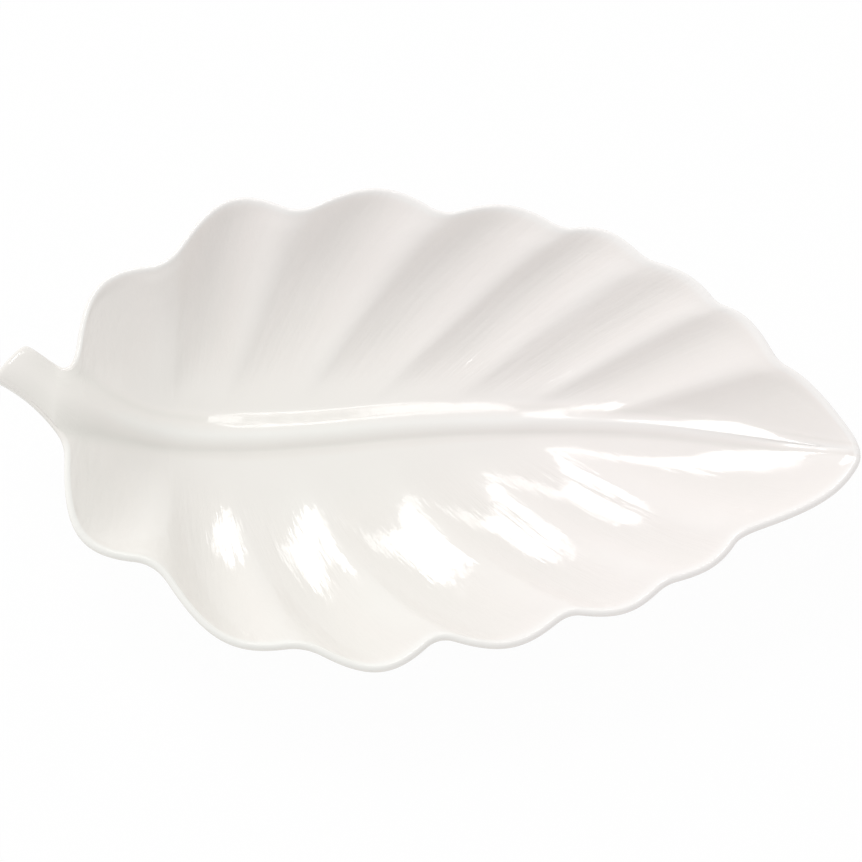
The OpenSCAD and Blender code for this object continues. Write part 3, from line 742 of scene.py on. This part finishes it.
# the profile at each place of a stadium: half circles of the middle line's radius at both ends
# and straight runs between them
def footRing():
    radius = (foot["breadth"] - foot["root"]) / 2
    straight = (foot["length"] - foot["breadth"]) / 2
    profile = footProfile() + np.array([radius, 0])
    middle = np.array([foot["place"][0] * length, foot["place"][1] * halfBreadth])
    arc = np.radians(np.linspace(-90, 90, foot["endSteps"] + 1))
    run = np.linspace(1, -1, foot["sideSteps"] + 1)[1:-1]
    out = np.concatenate([np.stack([np.cos(arc), np.sin(arc)], 1), np.tile([0.0, 1.0], (len(run), 1))])
    runCentre = np.stack([run * straight, 0 * run], 1)
    centre = np.concatenate([np.tile([straight, 0.0], (len(arc), 1)), runCentre])
    out, centre = np.concatenate([out, -out]), np.concatenate([centre, -centre])
    plan = middle + centre[:, None] + out[:, None] * profile[None, :, :1]
    z = np.broadcast_to(profile[None, :, 1:], plan.shape[:2] + (1,))
    grid = np.concatenate([plan, z], -1)
    rows, size = grid.shape[:2]
    i, j = np.meshgrid(np.arange(rows), np.arange(size), indexing="ij")
    here, there, after = i * size, (i + 1) % rows * size, (j + 1) % size
    return grid, np.stack([here + j, there + j, there + after, here + after], -1).reshape(-1, 4)

footGrid, footFaces = footRing()
footPiece = newPiece("footRing", placed(footGrid), footFaces.tolist(), biscuitCoat)
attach(footPiece, "root")
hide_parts("foot_ring")
print("foot ring built")


# studio: a white floor and a surround. The camera and mirrored rays meet the floor's glow and a
# white surround, and the surround's plain light on the plate has the strength of ambient.
studio = {
    "floorHalf": 3.0, "floorColour": (0.95, 0.95, 0.95), "floorRough": 0.9, "floorGlow": 0.96,
    "ambient": 0.735,
}
# lamps that face the plate: turn to the right of straight behind, height and roll in degrees,
# size and distance in metres, power in watts. The glaze mirrors the softbox, the card and the
# bridge between them, and the fills only light it.
lamps = {
    "backSoftbox": {"turn": -24.5, "height": 47.0, "roll": 22.0, "distance": 4.0, "size": (1.65, 0.88),
                    "power": 30.0, "mirrored": True},
    "backCard": {"turn": 1.0, "height": 41.5, "roll": 0.0, "distance": 4.0, "size": (0.56, 0.42),
                 "power": 3.0, "mirrored": True},
    "bridge": {"turn": -3.8, "height": 48.0, "roll": 30.0, "distance": 4.0, "size": (0.58, 0.16),
               "power": 1.25, "mirrored": True},
    "sideFill": {"turn": -45.0, "height": 26.0, "roll": 0.0, "distance": 5.0, "size": (4.4, 2.6),
                 "power": 48.0, "mirrored": False},
    "frontFill": {"turn": -165.0, "height": 3.0, "roll": 0.0, "distance": 5.0, "size": (5.0, 0.5),
                  "power": 13.0, "mirrored": False},
}

# 1 for the camera's rays and for mirrored ones, else 0
def seenDirectly(tree, at):
    ray = addNode(tree, "ShaderNodeLightPath", (at[0] - 200, at[1]))
    return addMath(tree, "MAXIMUM", ray.outputs["Is Camera Ray"], ray.outputs["Is Glossy Ray"], at)

def addFloor():
    material, tree, shader = newMaterial("paleFloor")
    shader.inputs["Base Color"].default_value = rgba(studio["floorColour"])
    shader.inputs["Roughness"].default_value = studio["floorRough"]
    shader.inputs["Specular IOR Level"].default_value = 0.0
    share = addMath(tree, "MULTIPLY", seenDirectly(tree, (-200, 300)), studio["floorGlow"], (0, 300))
    glow = addNode(tree, "ShaderNodeEmission", (0, 120), Strength=1.0)
    blend = addNode(tree, "ShaderNodeMixShader", (200, 200))
    tree.links.new(share, blend.inputs[0])
    tree.links.new(shader.outputs[0], blend.inputs[1])
    tree.links.new(glow.outputs[0], blend.inputs[2])
    tree.links.new(blend.outputs[0], tree.nodes["Material Output"].inputs["Surface"])
    corners = np.array([(-1, -1, 0), (1, -1, 0), (1, 1, 0), (-1, 1, 0)]) * studio["floorHalf"]
    mesh = bpy.data.meshes.new("studioFloor")
    mesh.from_pydata(corners.tolist(), [], [(0, 1, 2, 3)])
    mesh.materials.append(material)
    floor = bpy.data.objects.new("studioFloor", mesh)
    bpy.context.collection.objects.link(floor)

def addWorld():
    world = bpy.data.worlds.new("studioWorld")
    bpy.context.scene.world = world
    world.use_nodes = True
    tree = world.node_tree
    back = tree.nodes["Background"]
    back.inputs["Color"].default_value = rgba((1.0, 1.0, 1.0))
    seen = seenDirectly(tree, (-400, 200))
    strength = addRange(tree, seen, (0.0, 1.0), (studio["ambient"], 1.0), (-200, 100))
    tree.links.new(strength, back.inputs["Strength"])

def addLamp(name, values):
    lamp = bpy.data.lights.new(name, "AREA")
    lamp.shape, lamp.energy = "RECTANGLE", values["power"]
    lamp.size, lamp.size_y = values["size"]
    holder = bpy.data.objects.new(name, lamp)
    turn, height = radians(values["turn"]), radians(values["height"])
    way = Vector((np.sin(turn) * np.cos(height), np.cos(turn) * np.cos(height), np.sin(height)))
    holder.location = way * values["distance"]
    holder.rotation_euler = (-way).to_track_quat("-Z", "Y").to_euler()
    holder.rotation_euler.rotate_axis("Z", radians(values["roll"]))
    holder.visible_glossy = values["mirrored"]
    bpy.context.collection.objects.link(holder)

# the camera looks down at the target from the front. Its focal length and frame are in pixels of
# the photo, and the rest is in degrees, metres and, for the sensor, millimetres.
camera = {
    "elevation": 65.0, "distance": 1.2, "focal": 3461.0, "frame": 862.0,
    "target": (0.00182, 0.00269, 0.01786), "sensor": 36.0, "clip": (0.05, 50.0),
}

def addCamera():
    lens = bpy.data.cameras.new("plateCamera")
    lens.sensor_fit, lens.sensor_width = "HORIZONTAL", camera["sensor"]
    lens.lens = camera["focal"] / camera["frame"] * camera["sensor"]
    lens.clip_start, lens.clip_end = camera["clip"]
    eye = bpy.data.objects.new("plateCamera", lens)
    e = radians(camera["elevation"])
    eye.location = np.array(camera["target"]) + camera["distance"] * np.array([0, -np.cos(e), np.sin(e)])
    eye.rotation_euler = (radians(90) - e, 0, 0)
    bpy.context.collection.objects.link(eye)
    bpy.context.scene.camera = eye

addFloor()
addWorld()
for name, values in lamps.items():
    addLamp(name, values)
addCamera()
bpy.context.scene.view_settings.view_transform = "Standard"
print("studio set")
